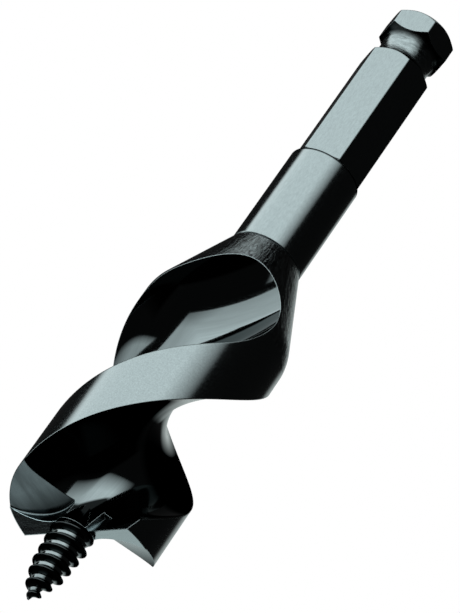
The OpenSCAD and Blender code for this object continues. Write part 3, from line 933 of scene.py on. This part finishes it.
def softbox(name, azimuths, elevations, strength, left=0.0, right=0.0, top=0.0, low_level=1.0, slant=0.0):
    """A curved panel of light. Left, right and top are the shares over which an end dies away, the low level is the
    brightness of its lower edge, and the slant turns its top by so many degrees."""
    points, shares, faces = [], [], []
    for j in range(STEPS_UP + 1):
        e = math.radians(elevations[0] + (elevations[1] - elevations[0]) * j / STEPS_UP)
        for i in range(STEPS_ACROSS + 1):
            a = azimuths[0] + (azimuths[1] - azimuths[0]) * i / STEPS_ACROSS + slant * j / STEPS_UP
            points.append(REACH * (math.cos(e) * facing(a) + math.sin(e) * UP) + CENTRE)
            shares.append((i / STEPS_ACROSS, j / STEPS_UP, 0.0))
    for j in range(STEPS_UP):
        for i in range(STEPS_ACROSS):
            k = j * (STEPS_ACROSS + 1) + i
            faces.append([k, k + 1, k + STEPS_ACROSS + 2, k + STEPS_ACROSS + 1])
    mesh = bpy.data.meshes.new(name)
    mesh.from_pydata([list(q) for q in points], [], faces)
    mesh.attributes.new("share", "FLOAT_VECTOR", "POINT").data.foreach_set("vector", np.ravel(shares))
    obj = bpy.data.objects.new(name, mesh)
    scene.collection.objects.link(obj)
    glow = bpy.data.materials.new(name + "_cloth")
    glow.use_nodes = True
    tree = glow.node_tree
    tree.nodes.remove(tree.nodes["Principled BSDF"])
    place = add(tree, "ShaderNodeAttribute", attribute_name="share")
    across = add(tree, "ShaderNodeSeparateXYZ", {0: place.outputs["Vector"]}).outputs
    levels = {"From Max": FULL_FROM, "To Min": low_level * strength, "To Max": strength}
    level = add(tree, MAP_RANGE, {"Value": across["Y"], **levels})
    for axis, dark, full in (("X", 0.0, left), ("X", 1.0, 1.0 - right), ("Y", 1.0, 1.0 - top)):
        if dark != full:
            ramp = add(tree, MAP_RANGE, {"Value": across[axis], "From Min": dark, "From Max": full})
            fade = add(tree, MATH, {0: ramp, 1: SOFTNESS}, operation="POWER")
            level = add(tree, MATH, {0: level, 1: fade}, operation="MULTIPLY")
    emit = add(tree, "ShaderNodeEmission", {"Color": linear("#F7FFFF"), "Strength": level})
    tree.links.new(emit.outputs[0], tree.nodes["Material Output"].inputs["Surface"])
    mesh.materials.append(glow)
    obj.visible_camera = False
    obj.visible_shadow = False
    print(name, "from azimuth", azimuths[0], "to", azimuths[1])


KEY = 4.8
softbox("key_softbox", (-124, 16), (-27, 56), KEY, left=0.08, right=0.26, top=0.2, low_level=0.6, slant=15)
softbox("top_card", (-130, -25), (60, 78), 0.36 * KEY, left=0.3, right=0.5)
softbox("low_card", (-73, -38), (-50, -34), 0.55 * KEY, left=0.1, right=0.35, low_level=0.3)
softbox("under_card", (150, 210), (-78, -52), 0.105 * KEY)

# %% [markdown]
# The camera sees white paper wherever it looks past the bit. The steel sees that paper only where it would stand: as a
# window behind the bit and as a low sweep on the horizon. Light Path tells the two kinds of ray apart.

# %% World
# Each limit goes from dark to full over a range of the ray's direction. X is right, Y is away from the camera, Z is up.
world = bpy.data.worlds.new("studio")
scene.world = world
world.use_nodes = True
tree = world.node_tree
rays = add(tree, "ShaderNodeLightPath").outputs
place = add(tree, "ShaderNodeTexCoord")
way = add(tree, "ShaderNodeSeparateXYZ", {0: place.outputs["Generated"]}).outputs
aside = add(tree, MATH, {0: way["X"], 1: way["Y"]}, operation="DIVIDE")
behind = add(tree, MATH, {0: way["Y"], 1: 0.0}, operation="GREATER_THAN")
window = ((aside, 0.9, 0.51), (way["X"], -0.12, 0.02), (way["Z"], -0.4, -0.34), (way["Z"], 0.95, 0.72))
horizon = ((way["Y"], 0.2, 0.4), (way["Z"], -0.42, -0.36), (way["Z"], 0.03, -0.03))
seen = []
for level, limits in ((behind, window), (1.0, horizon)):
    for value, dark, full in limits:
        band = {"Value": value, "From Min": dark, "From Max": full}
        edge = add(tree, MAP_RANGE, band, interpolation_type="SMOOTHSTEP")
        level = add(tree, MATH, {0: level, 1: edge}, operation="MULTIPLY")
    seen.append(level)
dimmer = add(tree, MAP_RANGE, {"Value": way["Z"], "From Min": 0.1, "From Max": -0.15, "To Min": 0.62, "To Max": 1.0})
seen[0] = add(tree, MATH, {0: seen[0], 1: dimmer}, operation="MULTIPLY")
seen = add(tree, MATH, {0: seen[0], 1: seen[1]}, operation="MAXIMUM")
mirrored = add(tree, MATH, {0: rays["Is Glossy Ray"], 1: rays["Is Transmission Ray"]}, operation="MAXIMUM")
mirrored = add(tree, MATH, {0: mirrored, 1: seen}, operation="MULTIPLY")
plain = tree.nodes["Background"]
plain.inputs["Color"].default_value = (0.02, 0.02, 0.02, 1.0)
paper = add(tree, "ShaderNodeBackground", {"Color": linear("#EAF6F4")})
white = add(tree, "ShaderNodeBackground", {"Color": (1.0, 1.0, 1.0, 1.0)})
room = add(tree, "ShaderNodeMixShader", {0: mirrored, 1: plain, 2: paper})
whole = add(tree, "ShaderNodeMixShader", {0: rays["Is Camera Ray"], 1: room, 2: white})
tree.links.new(whole.outputs[0], tree.nodes["World Output"].inputs["Surface"])
print("world:", len(tree.nodes), "nodes")

# %% [markdown]
# ## Camera
# The photo looks at the front of the bit and 31 degrees up at its point, from far enough for a flat perspective,
# and is turned so that the bit lies aslant. Tilt, turn, distance and focal length were fitted to points of the photo.

# %% Camera at the photo's angle
TILT = math.radians(30.7)
ROLL_COS, ROLL_SIN = 0.8198, 0.5727
DISTANCE = 470.71
AIM = Vector((-0.301, 0, -65.725))
FOCAL_PIXELS, PICTURE_HEIGHT = 2968.8, 613
forward = Vector((0, math.cos(TILT), math.sin(TILT)))
sky = Vector((0, -math.sin(TILT), math.cos(TILT)))
right = ROLL_COS * Vector((1, 0, 0)) + ROLL_SIN * sky
upward = -ROLL_SIN * Vector((1, 0, 0)) + ROLL_COS * sky
eye = (AIM - DISTANCE * forward) / 1000
camera = bpy.data.objects.new("camera", bpy.data.cameras.new("camera"))
scene.collection.objects.link(camera)
camera.matrix_world = Matrix.Translation(eye) @ Matrix((right, upward, -forward)).transposed().to_4x4()
camera.data.lens = 36 * FOCAL_PIXELS / PICTURE_HEIGHT
camera.data.clip_start = 0.01
scene.camera = camera
scene.view_settings.view_transform = "Standard"
print("camera at", [round(v, 3) for v in eye], "with a lens of", round(camera.data.lens, 1), "mm")
